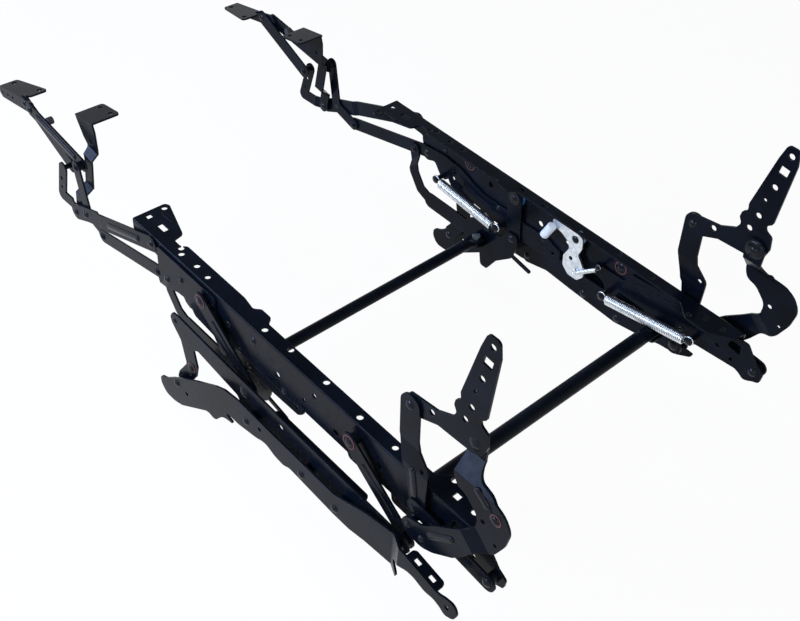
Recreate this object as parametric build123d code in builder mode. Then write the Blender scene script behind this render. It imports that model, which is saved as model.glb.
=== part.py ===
from build123d import *
import os
from math import atan, atan2, ceil, cos, degrees, hypot, pi, radians, sin, sqrt, tan

os.makedirs("parts", exist_ok=True)

# A footrest and recline mechanism: two mirrored sides of stamped links, joined by two cross tubes.
# +X is the sitter's left, -Y the front, +Z up.
# The origin lies midway between the base side plates, level with their front mounting holes.

# Driving sizes
side_span = 1000.0  # about the footrest's front pivot to the backrest pivot
track_width = 500.0  # over the webs of the two seat rails
sheet = 3.0  # thickness of every stamped plate
sheet_gap = 0.5  # between plates that lie beside each other
overrun = 5.0  # what a cut runs past its material
fillet_share = 0.45  # how much of an edge one rounded corner may take
straight_turn = 0.15  # a corner that turns less, in radians, stays plain

# Pins and rivets
pin_radius = 4.0
pin_clearance = 0.05
head_radius = 6.5
head_height = 3.0
swing_pin_radius = 5.0
swing_head_radius = 8.5
rivet_radius = 2.5
rivet_head_radius = 4.5
rivet_head_height = 2.0
shoulder_wall = 3.0
running_gap = 0.3

# Widths of the straps
drive_width = 25.0
guide_width = 22.0
slim_width = 20.0
arm_width = 24.0
lift_link_width = 28.0
swing_width = 26.0
bell_crank_width = 24.0
control_width = 30.0
corner = 6.0
sweep_corner = 30.0  # where an outline runs in one smooth curve
small_corner = 2.0
joggle_run = 10.0

# Holes
small_hole_radius = 3.5
flange_hole_radius = 4.5
bolt_hole_radius = 4.25
light_hole_radius = 5.0
square_hole = 9.0
back_square_hole = 12.0

# Seat rail
flange_width = 57.0
seat_hole_inset = 11.5
rib_height = 1.2
rib_width = 7.0
rib_draft = 30.0

# Cross tubes
front_tube_radius = 9.0
rear_tube_radius = 11.0
tube_flat_width = 24.0
tube_flat_height = 6.0
tube_flat_length = 18.0
tube_taper_length = 12.0
lug_width = 30.0
tube_end_gap = 4.0
bolt_head_radius = 6.5
bolt_head_height = 5.0

# Springs
wire_radius = 1.4
spring_radius = 8.2
spring_offset = 25.0
spring_pitch = 5.6
latch_wire_radius = 0.9
latch_spring_radius = 3.6
latch_spring_pitch = 4.4
post_radius = 4.0
post_head_radius = 6.5
hook_turn = 270.0
hook_shank = 14.0

# Small pieces
washer_radius = 11.0
washer_height = 1.5
cap_radius = 7.0
bumper_radius = 6.0
bumper_length = 9.0

# Layers of plates, counted outward from the rail's web
web = 0
outer = 1
control = 2
swing = 3
upright = 4
base_rail_layer = 6
base_plate_layer = 9
tail_layer = 12
inner = -1
lift_link_layer = -2
fold_top_layer = -2
lift_layer = -3
arm_layer = -4
bracket_layer = -5
wide_arm_layer = -6
leg_layer = -7
mid_plate_layer = -10

# Places, as shares of the side's span from the rail's front slot
base_hole_share = (0.112, -0.211)
drive_pivot_share = (0.006, -0.013)
guide_pivot_share = (0.041, -0.054)
guide_end_share = (-0.142, -0.0995)
guide_lift_share = (0.011, -0.063)
knee_low_share = (-0.188, -0.087)
fold_low_share = (-0.220, -0.102)
knee_top_share = (-0.204, -0.010)
fold_bend_share = (-0.275, -0.105)
fold_top_share = (-0.258, -0.045)
front_arm_share = (-0.3536, 0.0075)
front_wide_share = (-0.377, 0.005)
lift_top_share = (0.236, -0.024)
lift_low_share = (0.245, -0.097)
front_swing_share = (0.133, -0.024)
rear_swing_share = (0.440, -0.0265)
swing_reach_share = (0.108, -0.0785)
back_pivot_share = (0.618, 0.130)
back_arm_share = (0.5256, 0.110)
crank_end_share = (0.556, -0.035)
crank_pivot_share = (0.674, -0.047)
latch_pivot_share = (0.361, -0.021)
front_tube_share = (0.186, -0.130)
rear_tube_share = (0.523, -0.0765)
front_post_shares = ((0.085, -0.072), (0.221, -0.084))
rear_post_shares = ((0.434, -0.072), (0.584, -0.046))
latch_spring_shares = ((0.372, -0.072), (0.412, -0.037))
upright_stud_shares = ((0.558, -0.054), (0.581, -0.057))
inner_rivet_shares = ((0.205, -0.0645), (0.300, -0.0645))
outer_rivet_share = (0.078, -0.030)
base_rivet_shares = ((0.087, -0.209), (0.258, -0.139), (0.375, -0.136), (0.442, -0.138))
bumper_share = (-0.304, 0.011)
tail_hole_share = (0.650, -0.095)


def at(share):
    # a place in the side view, as y and z from the origin
    y = (share[0] - base_hole_share[0]) * side_span
    z = (share[1] - base_hole_share[1]) * side_span
    return y, z


def places(shares):
    return [at(share) for share in shares]


def face(layer):
    # x of the inner face of a plate on the left side
    return track_width / 2 - sheet + layer * (sheet + sheet_gap)


def moved_share(share, step):
    return share[0] + step[0], share[1] + step[1]


def corner_radii(points, wanted, sharp=()):
    # each corner is rounded as far as its two edges allow, but for the sharp ones
    radii = []
    for i, here in enumerate(points):
        before = points[i - 1]
        after = points[(i + 1) % len(points)]
        edge_in = hypot(here[0] - before[0], here[1] - before[1])
        edge_out = hypot(after[0] - here[0], after[1] - here[1])
        cross = (here[0] - before[0]) * (after[1] - here[1]) - (here[1] - before[1]) * (after[0] - here[0])
        along = (here[0] - before[0]) * (after[0] - here[0]) + (here[1] - before[1]) * (after[1] - here[1])
        turn = abs(atan2(cross, along))
        if i in sharp or turn < straight_turn:
            radii.append(0)
        else:
            radii.append(min(wanted, fillet_share * min(edge_in, edge_out) / tan(turn / 2)))
    return radii


def round_holes(holes):
    for share, radius in holes:
        with Locations(at(share)):
            Circle(radius, mode=Mode.SUBTRACT)


def rounded_face(shares, rounding, sharp=()):
    # a plate's outline with rounded corners, in the sketch that is open
    points = places(shares)
    with BuildLine() as edge:
        FilletPolyline(*points, radius=corner_radii(points, rounding, sharp), close=True)
    make_face(edge.edges())


def outline(shares, rounding, holes=(), x=0, sharp=()):
    with BuildSketch(Plane.YZ.offset(x)) as shape:
        rounded_face(shares, rounding, sharp)
        round_holes(holes)
    return shape.sketch


def bar(first, last, width):
    # one straight run of a strap with round ends, in the sketch that is open
    (y1, z1), (y2, z2) = at(first), at(last)
    with Locations(((y1 + y2) / 2, (z1 + z2) / 2)):
        SlotCenterToCenter(hypot(y2 - y1, z2 - z1), width, rotation=degrees(atan2(z2 - z1, y2 - y1)))


def bars(shares, width):
    for first, last in zip(shares, shares[1:]):
        bar(first, last, width)


def strap(shares, width, holes=(), x=0):
    with BuildSketch(Plane.YZ.offset(x)) as shape:
        bars(shares, width)
        round_holes(holes)
    return shape.sketch


def flat(shape):
    with BuildPart() as piece:
        extrude(shape, amount=sheet)
    return piece.part


def stepped(shape, start, heading, first_layer, steps):
    # a plate that steps sideways from layer to layer as it runs along its heading
    reach = side_span
    low = [(-reach, face(first_layer))]
    high = [(-reach, face(first_layer) + sheet)]
    x = face(first_layer)
    for distance, run, layer in steps:
        slope = atan((face(layer) - x) / run)
        shift = sheet * tan(slope / 2)
        low += [(distance, x), (distance + run, face(layer))]
        high += [(distance - shift, x + sheet), (distance + run - shift, face(layer) + sheet)]
        x = face(layer)
    low.append((reach, x))
    high.append((reach, x + sheet))
    y, z = at(start)
    size = hypot(*heading)
    u = (0, heading[0] / size, heading[1] / size)
    profile_plane = Plane(origin=(0, y, z), x_dir=u, z_dir=(0, u[2], -u[1]))
    with BuildSketch(profile_plane) as profile:
        with BuildLine():
            Polyline(*low, *reversed(high), close=True)
        make_face()
    with BuildPart() as piece:
        extrude(shape, amount=track_width)
        extrude(profile.sketch, amount=reach, both=True, mode=Mode.INTERSECT)
    return piece.part


def vector(first, last):
    return last[0] - first[0], last[1] - first[1]


def rib(first, last, layer, width=rib_width, side=1):
    # a pressed rib that stands out of a plate's outer face, or its inner one
    x = face(layer) + (sheet if side > 0 else 0)
    shape = strap((first, last), width, x=x)
    extrude(shape, amount=side * rib_height, taper=rib_draft)


def head(share, x, side, radius=head_radius, height=head_height):
    # the domed head of a rivet, standing on a face at x
    y, z = at(share)
    ball = (height * height + radius * radius) / (2 * height)
    half_angle = atan2(radius, ball - height) / 2
    middle = (height - ball + ball * cos(half_angle), ball * sin(half_angle))
    turned = Plane(origin=(x, y, z), x_dir=(side, 0, 0), z_dir=(0, 0, 1))
    with BuildSketch(turned) as profile:
        with BuildLine():
            Line((0, 0), (0, radius))
            ThreePointArc((0, radius), middle, (height, 0))
            Line((height, 0), (0, 0))
        make_face()
    revolve(profile.sketch, axis=Axis((x, y, z), (side, 0, 0)))


def shank(share, low, high, radius):
    with BuildSketch(Plane.YZ.offset(low)) as round_bar:
        with Locations(at(share)):
            Circle(radius)
    extrude(round_bar.sketch, amount=high - low)


def rivet(share, low_layer, high_layer, radius=pin_radius, low_head=True, high_head=True, wide=head_radius):
    low = face(low_layer)
    high = face(high_layer) + sheet
    shank(share, low, high, radius)
    if low_head:
        head(share, low, -1, wide)
    if high_head:
        head(share, high, 1, wide)


def spacer(share, low_layer, high_layer, radius):
    # a shoulder that fills the space between two plates
    shank(share, face(low_layer) + sheet, face(high_layer), radius)


def pin_hole(share, radius=pin_radius):
    return share, radius + pin_clearance


def both_sides(piece):
    with BuildPart() as pair:
        add(piece)
        mirror(piece, about=Plane.YZ)
    return pair.part


def save(piece, name):
    piece.label = name
    export_step(piece, f"parts/{name}.step")


def save_sides(piece, name):
    with BuildPart() as twin:
        mirror(piece, about=Plane.YZ)
    save(piece, f"{name}_left")
    save(twin.part, f"{name}_right")


# Ends of the swing links on the base
front_base_share = moved_share(front_swing_share, swing_reach_share)
rear_base_share = moved_share(rear_swing_share, swing_reach_share)


def flange_place(share):
    # y share along the rail and inset share of the flange's width, as x and y
    return track_width / 2 - share[1] * flange_width, at((share[0], 0))[0]


def seat_rail():
    web_shares = [
        (-0.043, 0), (-0.043, -0.026), (0.022, -0.030), (0.034, -0.040), (0.108, -0.041), (0.122, -0.066),
        (0.200, -0.070), (0.310, -0.070), (0.330, -0.066), (0.590, -0.066), (0.600, -0.050),
        (0.606, -0.012), (0.645, -0.011), (0.645, 0),
    ]
    web_holes = [
        pin_hole(drive_pivot_share), pin_hole(front_swing_share, swing_pin_radius),
        pin_hole(rear_swing_share, swing_pin_radius), pin_hole(lift_top_share), pin_hole(latch_pivot_share),
        ((0.058, -0.020), small_hole_radius), ((0.287, -0.045), light_hole_radius),
        ((0.341, -0.046), small_hole_radius), ((0.404, -0.050), light_hole_radius),
        ((0.483, -0.038), light_hole_radius), ((0.180, -0.036), light_hole_radius),
    ]
    web_holes += [pin_hole(share, rivet_radius) for share in inner_rivet_shares]
    web_holes += [pin_hole(outer_rivet_share, rivet_radius)]
    web_holes += [pin_hole(share, rivet_radius) for share in upright_stud_shares]
    flange_shares = [
        (-0.043, 0), (-0.043, 0.93), (-0.036, 1), (0.028, 0.63), (0.032, 0.33), (0.048, 0.33),
        (0.055, 0.456), (0.185, 0.456), (0.208, 0.386), (0.216, 0.526), (0.236, 0.526),
        (0.243, 0.36), (0.553, 0.36), (0.565, 0.56), (0.575, 0.70), (0.610, 0.70), (0.640, 0.40), (0.645, 0),
    ]
    hole_shares = [
        (-0.035, 0.83), (0.052, 0.298), (0.062, 0.185), (0.095, 0.23), (0.2965, 0.254),
        (0.367, 0.254), (0.435, 0.17), (0.574, 0.57), (0.620, 0.33), (0.248, 0.19),
    ]
    seat_holes = [(0.122, seat_hole_inset / flange_width), (0.496, seat_hole_inset / flange_width)]
    with BuildPart() as rail:
        web_ends = (0, len(web_shares) - 1)
        extrude(outline(web_shares, corner, web_holes, face(web), web_ends), amount=sheet)
        points = [flange_place(share) for share in flange_shares]
        top = at((0, 0))[1]
        with BuildSketch(Plane.XY.offset(top)) as flange:
            with BuildLine():
                radii = corner_radii(points, corner, (0, len(points) - 1))
                FilletPolyline(*points, radius=radii, close=True)
            make_face()
            with Locations(*[flange_place(share) for share in hole_shares]):
                Circle(flange_hole_radius, mode=Mode.SUBTRACT)
            with Locations(*[flange_place(share) for share in seat_holes]):
                Circle(bolt_hole_radius, mode=Mode.SUBTRACT)
            with Locations(flange_place((-0.032, 0.36)), flange_place((0.592, 0.333))):
                Rectangle(square_hole, square_hole, mode=Mode.SUBTRACT)
            with Locations(flange_place((0, 0.386))):
                Rectangle(square_hole, 2 * square_hole, mode=Mode.SUBTRACT)
        extrude(flange.sketch, amount=-sheet)
        with BuildSketch(Plane.XY.offset(top)) as pad_rib:
            with Locations(flange_place((-0.014, 0.70))):
                SlotOverall(4 * rib_width, rib_width, rotation=90)
        extrude(pad_rib.sketch, amount=rib_height, taper=rib_draft)
        bend = rail.edges().filter_by(Axis.Y).filter_by_position(Axis.Z, top, top)
        fillet(bend.filter_by_position(Axis.X, track_width / 2, track_width / 2), sheet - running_gap)
    return rail.part


def rail_side_plate():
    shares = [
        (0.021, -0.006), (0.021, -0.038), (0.027, -0.060), (0.043, -0.068), (0.068, -0.060), (0.092, -0.057),
        (0.107, -0.075), (0.150, -0.079), (0.166, -0.100), (0.180, -0.096), (0.172, -0.062),
        (0.156, -0.030), (0.158, -0.006),
    ]
    holes = [pin_hole(guide_pivot_share), pin_hole(front_swing_share, swing_pin_radius)]
    holes += [pin_hole(outer_rivet_share, rivet_radius)]
    with BuildPart() as plate:
        extrude(outline(shares, corner, holes, face(outer)), amount=sheet)
        rib((0.172, -0.088), (0.165, -0.070), outer)
    return plate.part


def inner_plate():
    shares = [
        (0.028, -0.054), (0.034, -0.043), (0.048, -0.041), (0.080, -0.038), (0.120, -0.042), (0.150, -0.053),
        (0.175, -0.059), (0.220, -0.058), (0.265, -0.061), (0.305, -0.058), (0.330, -0.066),
        (0.337, -0.080), (0.325, -0.091), (0.265, -0.094), (0.200, -0.093), (0.150, -0.086),
        (0.128, -0.078), (0.126, -0.057), (0.112, -0.051), (0.099, -0.055), (0.095, -0.074),
        (0.085, -0.082), (0.074, -0.077), (0.060, -0.060), (0.044, -0.066), (0.032, -0.063),
    ]
    holes = [pin_hole(guide_pivot_share), ((0.322, -0.078), small_hole_radius)]
    holes += [pin_hole(share, rivet_radius) for share in inner_rivet_shares + front_post_shares]
    with BuildPart() as plate:
        extrude(outline(shares, corner, holes, face(inner)), amount=sheet)
        rib((0.291, -0.078), (0.314, -0.080), inner, side=-1)
        rib((0.140, -0.068), (0.190, -0.077), inner, side=-1)
    return plate.part


def rear_inner_plate():
    shares = [
        (0.397, -0.042), (0.452, -0.041), (0.462, -0.023), (0.560, -0.012), (0.640, -0.009),
        (0.656, -0.009), (0.676, -0.033), (0.689, -0.041), (0.688, -0.056), (0.674, -0.062),
        (0.655, -0.058), (0.560, -0.066), (0.544, -0.066), (0.540, -0.086), (0.506, -0.086),
        (0.502, -0.066), (0.448, -0.064), (0.444, -0.080), (0.426, -0.080), (0.420, -0.066), (0.400, -0.060),
    ]
    holes = [pin_hole(crank_pivot_share), ((0.6155, -0.040), small_hole_radius)]
    holes += [((0.640, -0.048), small_hole_radius)]
    holes += [pin_hole(share, rivet_radius) for share in rear_post_shares + upright_stud_shares]
    window_shares = [(0.628, -0.030), (0.632, -0.018), (0.648, -0.018), (0.650, -0.034)]
    with BuildPart() as plate:
        extrude(outline(shares, corner, holes, face(inner)), amount=sheet)
        extrude(outline(window_shares, small_corner, x=face(inner) - overrun), amount=sheet + 2 * overrun,
                mode=Mode.SUBTRACT)
        rib((0.475, -0.032), (0.552, -0.024), inner, side=-1)
        lug(plate_edge_x=face(inner) + sheet, share=rear_tube_share)
    return plate.part


def tube_seat_x():
    # x where a cross tube's flattened end stops, short of the plate that carries it
    return face(lift_layer) - tube_end_gap


def lug(plate_edge_x, share):
    # the tab under a cross tube's flattened end, bent inward from its plate
    y, z = at(share)
    low_x = tube_seat_x() - tube_flat_length
    seat = z - tube_flat_height / 2
    with BuildSketch(Plane.XY.offset(seat)) as tab:
        with Locations(((plate_edge_x + low_x) / 2, y)):
            Rectangle(plate_edge_x - low_x, lug_width)
        fillet(tab.vertices().group_by(Axis.X)[0], corner)
        with Locations((tube_seat_x() - tube_flat_length / 2, y)):
            Circle(pin_radius + pin_clearance, mode=Mode.SUBTRACT)
    extrude(tab.sketch, amount=-sheet)


def rear_upright():
    head_shares = [
        (0.6035, 0.125), (0.6035, 0.1445), (0.6325, 0.1445), (0.6325, 0.108), (0.640, 0.0965), (0.660, 0.0935),
        (0.682, 0.083), (0.6935, 0.066), (0.6895, 0.040), (0.677, 0.011), (0.647, 0.030), (0.649, 0.049),
        (0.629, 0.068), (0.614, 0.071), (0.6075, 0.085), (0.6075, 0.108),
    ]
    foot_shares = [
        (0.647, 0.030), (0.652, 0.048), (0.680, 0.047), (0.6885, 0.038), (0.677, 0.011), (0.657, 0.001),
        (0.645, -0.020), (0.630, -0.040), (0.600, -0.064), (0.580, -0.074), (0.556, -0.068),
        (0.546, -0.055), (0.554, -0.043), (0.580, -0.035), (0.600, -0.013), (0.622, 0.006),
    ]
    head_holes = [pin_hole(back_pivot_share, swing_pin_radius), ((0.656, 0.050), small_hole_radius)]
    head_holes += [((0.677, 0.030), rivet_radius)]
    foot_holes = [pin_hole(share, rivet_radius) for share in upright_stud_shares]
    foot_holes += head_holes[1:]
    top_start = 19.0
    top_run = 22.0
    top_step = (top_start, top_run, upright)
    top = stepped(outline(head_shares, sweep_corner, head_holes), back_pivot_share, (0, -1), inner, [top_step])
    low_step = (0, 2 * joggle_run, base_rail_layer)
    foot = stepped(outline(foot_shares, sweep_corner, foot_holes), (0.655, 0.024), (-0.66, -0.75), upright, [low_step])
    with BuildPart() as arm:
        add(top)
        add(foot)
        rib((0.645, 0.086), (0.662, 0.076), upright)
        rib((0.598, -0.034), (0.622, -0.014), base_rail_layer)
    return arm.part


def base_side_plate():
    shares = [
        (0.041, -0.244), (0.042, -0.229), (0.058, -0.222), (0.080, -0.203), (0.140, -0.160), (0.190, -0.128),
        (0.210, -0.118), (0.245, -0.112), (0.300, -0.113), (0.440, -0.112), (0.480, -0.096), (0.500, -0.088),
        (0.560, -0.073), (0.576, -0.0745), (0.634, -0.086), (0.646, -0.081), (0.660, -0.079), (0.667, -0.091),
        (0.662, -0.106), (0.648, -0.112), (0.640, -0.106), (0.628, -0.102), (0.615, -0.105), (0.589, -0.097),
        (0.556, -0.112), (0.552, -0.120), (0.574, -0.133), (0.545, -0.137), (0.500, -0.143), (0.470, -0.150),
        (0.440, -0.151), (0.350, -0.147), (0.340, -0.153), (0.320, -0.152), (0.300, -0.144),
        (0.280, -0.152), (0.240, -0.161), (0.214, -0.162), (0.212, -0.167), (0.233, -0.172), (0.203, -0.178),
        (0.182, -0.205), (0.165, -0.201), (0.095, -0.250), (0.075, -0.257), (0.053, -0.258),
    ]
    holes = [
        (base_hole_share, small_hole_radius), ((0.288, -0.128), small_hole_radius),
        (tail_hole_share, small_hole_radius),
    ]
    holes += [pin_hole(share, pin_radius) for share in base_rivet_shares]
    tail_start_share = 0.548
    tail_step = ((tail_start_share - base_hole_share[0]) * side_span, 2 * joggle_run, tail_layer)
    body = stepped(outline(shares, sweep_corner, holes), base_hole_share, (1, 0), base_plate_layer, [tail_step])
    shelf_length = 54.0
    shelf_width = 16.5
    shelf_slope = 11.2
    slot_spacing = 25.0
    slot_length = 9.0
    slot_width = 6.0
    y, z = at((0.605, -0.0804))
    edge = face(tail_layer) + sheet
    top = Plane(origin=(edge, y, z), x_dir=(0, cos(radians(shelf_slope)), -sin(radians(shelf_slope))),
                z_dir=(0, sin(radians(shelf_slope)), cos(radians(shelf_slope))))
    with BuildPart() as plate:
        add(body)
        with BuildSketch(top) as shelf:
            with Locations((0, shelf_width / 2)):
                Rectangle(shelf_length, shelf_width)
            fillet(shelf.vertices().group_by(Axis.Y)[-1], corner)
            with Locations((0, shelf_width / 2)):
                with GridLocations(slot_spacing, 0, 2, 1):
                    Rectangle(slot_length, slot_width, mode=Mode.SUBTRACT)
        extrude(shelf.sketch, amount=-sheet)
    return plate.part


def base_rail():
    shares = [
        (0.070, -0.092), (0.076, -0.081), (0.090, -0.079), (0.200, -0.083), (0.300, -0.085), (0.520, -0.088),
        (0.552, -0.088), (0.566, -0.104), (0.552, -0.121), (0.500, -0.136), (0.440, -0.147),
        (0.350, -0.144), (0.300, -0.141), (0.258, -0.151), (0.240, -0.140), (0.225, -0.122),
        (0.135, -0.112), (0.122, -0.119), (0.129, -0.150), (0.124, -0.172), (0.103, -0.205), (0.090, -0.220),
        (0.074, -0.212), (0.080, -0.195), (0.102, -0.162), (0.092, -0.122), (0.073, -0.102),
    ]
    holes = [pin_hole(front_base_share, swing_pin_radius), pin_hole(rear_base_share, swing_pin_radius)]
    holes += [pin_hole(share, pin_radius) for share in base_rivet_shares]
    holes += [((0.320, -0.103), light_hole_radius), ((0.083, -0.092), small_hole_radius)]
    flange_run_share = (0.300, 0.480)
    flange_top_share = -0.094
    flange_reach = 13.0
    y_low, z_top = at((flange_run_share[0], flange_top_share))
    y_high, z_top = at((flange_run_share[1], flange_top_share))
    edge = face(base_rail_layer) + sheet
    with BuildPart() as rail:
        extrude(outline(shares, corner, holes, face(base_rail_layer)), amount=sheet)
        with BuildSketch(Plane.XY.offset(z_top)) as shelf:
            with Locations((edge - flange_reach / 2, (y_low + y_high) / 2)):
                Rectangle(flange_reach, y_high - y_low)
            fillet(shelf.vertices().group_by(Axis.X)[0], corner)
        extrude(shelf.sketch, amount=-sheet)
        rib((0.115, -0.160), (0.108, -0.178), base_rail_layer)
    return rail.part


def swing_link(top, low):
    shape = strap((top, low), swing_width, [pin_hole(top, swing_pin_radius), pin_hole(low, swing_pin_radius)],
                  face(swing))
    start_share = 0.25
    first = (top[0] + start_share * (low[0] - top[0]), top[1] + start_share * (low[1] - top[1]))
    last = (low[0] - start_share * (low[0] - top[0]), low[1] - start_share * (low[1] - top[1]))
    with BuildPart() as link:
        extrude(shape, amount=sheet)
        rib(first, last, swing)
    return link.part


def drive_link():
    # the footrest's main arm steps inward ahead of the rail
    holes = [pin_hole(share) for share in (drive_pivot_share, knee_low_share, fold_low_share)]
    shape = strap((drive_pivot_share, knee_low_share, fold_low_share), drive_width, holes)
    step_share = 0.155
    bar_part = stepped(shape, drive_pivot_share, vector(drive_pivot_share, knee_low_share), outer,
                       [(step_share * side_span, joggle_run, web)])
    with BuildPart() as link:
        add(bar_part)
        rib((-0.030, -0.0267), (-0.110, -0.0573), outer)
    return link.part


def guide_link():
    holes = [pin_hole(guide_pivot_share)]
    shape = strap((guide_pivot_share, guide_end_share), guide_width, holes, face(web))
    with BuildPart() as link:
        extrude(shape, amount=sheet)
        head(guide_end_share, face(web) + sheet, 1)
        head(guide_lift_share, face(web) + sheet, 1)
    return link.part


def knee_link():
    shape = strap((guide_end_share, knee_low_share, knee_top_share), slim_width, [pin_hole(knee_low_share)],
                  face(inner))
    tip = face(arm_layer) - running_gap
    collar_end = face(arm_layer) + sheet + running_gap
    with BuildPart() as link:
        extrude(shape, amount=sheet)
        head(guide_end_share, face(inner), -1)
        shank(knee_top_share, tip, face(inner), pin_radius)
        shank(knee_top_share, collar_end, face(inner), pin_radius + shoulder_wall)
        head(knee_top_share, tip, -1)
        head(knee_top_share, face(inner) + sheet, 1)
    return link.part


def fold_link():
    holes = [pin_hole(fold_low_share), ((-0.266, -0.068), small_hole_radius), ((-0.270, -0.087), rivet_radius)]
    shape = strap((fold_low_share, fold_bend_share, fold_top_share), slim_width, holes)
    bend_share = 0.012
    bar_part = stepped(shape, fold_low_share, vector(fold_low_share, fold_bend_share), inner,
                       [(bend_share * side_span, joggle_run, fold_top_layer)])
    with BuildPart() as link:
        add(bar_part)
        shank(fold_top_share, face(wide_arm_layer) + sheet + running_gap, face(fold_top_layer), pin_radius)
    return link.part


def mid_bracket():
    # a leg that rises past the knee and carries the footrest's middle plate
    leg_top_shares = [
        (-0.244, 0.0475), (-0.197, 0.0558), (-0.193, 0.043), (-0.192, 0.012), (-0.195, -0.014),
        (-0.214, -0.014), (-0.216, 0.008), (-0.228, 0.020),
    ]
    with BuildSketch(Plane.YZ) as shape:
        bar(fold_low_share, (-0.2045, -0.010), slim_width)
        rounded_face(leg_top_shares, small_corner)
        round_holes([pin_hole(fold_low_share), ((-0.206, 0.022), small_hole_radius)])
    low_bend_share = 0.031
    low_bend_run = 14.0
    high_bend_share = 0.100
    steps = [(low_bend_share * side_span, low_bend_run, leg_layer),
             (high_bend_share * side_span, joggle_run, mid_plate_layer)]
    leg = stepped(shape.sketch, fold_low_share, vector(fold_low_share, (-0.2045, -0.010)), lift_link_layer, steps)
    plate_length = 50.0
    plate_width = 47.0
    hole_inset = 37.0
    hole_spacing = 29.0
    y, z = at((-0.2195, 0.0518))
    tilt_share = (-0.174, 0.985)
    top = Plane(origin=(face(mid_plate_layer) + sheet - plate_width / 2, y, z), x_dir=(1, 0, 0),
                z_dir=(0, *tilt_share))
    with BuildPart() as bracket:
        add(leg)
        with BuildSketch(top) as plate:
            Rectangle(plate_width, plate_length)
            fillet(plate.vertices().group_by(Axis.X)[0], corner)
            with Locations((plate_width / 2 - hole_inset, 0)):
                with GridLocations(0, hole_spacing, 1, 2):
                    Circle(small_hole_radius, mode=Mode.SUBTRACT)
        extrude(plate.sketch, amount=sheet)
    return bracket.part


def outer_arm():
    shape = strap((knee_top_share, front_arm_share), guide_width,
                  [pin_hole(knee_top_share), pin_hole(front_arm_share)], face(arm_layer))
    with BuildPart() as arm:
        extrude(shape, amount=sheet)
        rib((-0.226, -0.0074), (-0.331, 0.0048), arm_layer)
    return arm.part


def wide_arm():
    shape = strap((front_wide_share, fold_top_share), arm_width, [pin_hole(front_wide_share)],
                  face(wide_arm_layer))
    with BuildPart() as arm:
        extrude(shape, amount=sheet)
        head(fold_top_share, face(wide_arm_layer), -1)
    return arm.part


def front_bracket():
    # the footrest's front plate with its upright flange
    shares = [
        (-0.462, -0.005), (-0.379, 0.0119), (-0.352, 0.0185), (-0.3425, 0.009), (-0.346, -0.002),
        (-0.375, -0.008), (-0.455, -0.024), (-0.464, -0.018),
    ]
    holes = [pin_hole(front_arm_share), pin_hole(front_wide_share)]
    holes += [((-0.4525, -0.0135), rivet_radius), ((-0.434, -0.009), rivet_radius), ((-0.418, -0.006), rivet_radius)]
    plate_length = 80.0
    wide_end = 44.0
    narrow_end = 30.0
    hole_edge = 10.0
    y, z = at((-0.420, 0.0035))
    tilt_share = (-0.1995, 0.980)
    top = Plane(origin=(face(bracket_layer) + sheet, y, z), x_dir=(1, 0, 0), z_dir=(0, *tilt_share))
    notch_depth = 12.0
    notch_width = 11.0
    points = [(0, -plate_length / 2), (-narrow_end, -plate_length / 2), (-wide_end, plate_length / 2),
              (-notch_width, plate_length / 2), (-notch_width, plate_length / 2 - notch_depth),
              (0, plate_length / 2 - notch_depth)]
    radii = corner_radii(points, corner, (0, len(points) - 1))
    with BuildPart() as bracket:
        extrude(outline(shares, corner, holes, face(bracket_layer)), amount=sheet)
        with BuildSketch(top) as plate:
            with BuildLine():
                FilletPolyline(*points, radius=radii, close=True)
            make_face()
            with Locations((hole_edge - narrow_end, hole_edge - plate_length / 2),
                           (hole_edge - wide_end, plate_length / 2 - hole_edge)):
                Circle(bolt_hole_radius, mode=Mode.SUBTRACT)
        extrude(plate.sketch, amount=-sheet)
    return bracket.part


def lift_link():
    shape = strap((lift_top_share, lift_low_share), lift_link_width, [pin_hole(lift_top_share),
                  pin_hole(lift_low_share)], face(lift_link_layer))
    return flat(shape)


def lift_plate():
    plate_shares = [
        (0.150, -0.117), (0.166, -0.104), (0.205, -0.112), (0.229, -0.104), (0.236, -0.088), (0.254, -0.087),
        (0.259, -0.100), (0.256, -0.118), (0.250, -0.134), (0.222, -0.158), (0.205, -0.186), (0.191, -0.186),
        (0.185, -0.160), (0.150, -0.151),
    ]
    arm_shares = [guide_lift_share, (0.022, -0.100), (0.040, -0.124), (0.066, -0.134), (0.160, -0.134)]
    finger_shares = ((0.245, -0.127), (0.289, -0.135))
    finger_width = 6.0
    with BuildSketch(Plane.YZ) as shape:
        rounded_face(plate_shares, corner)
        bars(arm_shares, slim_width)
        bars(arm_shares[3:], lift_link_width)
        bars(finger_shares, finger_width)
        round_holes([pin_hole(lift_low_share)])
    bend_share = 0.014
    body = stepped(shape.sketch, guide_lift_share, (1, -1), inner, [(bend_share * side_span, joggle_run, lift_layer)])
    with BuildPart() as plate:
        add(body)
        head(guide_lift_share, face(inner), -1)
        lug(plate_edge_x=face(lift_layer) + sheet, share=front_tube_share)
    return plate.part


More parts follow.
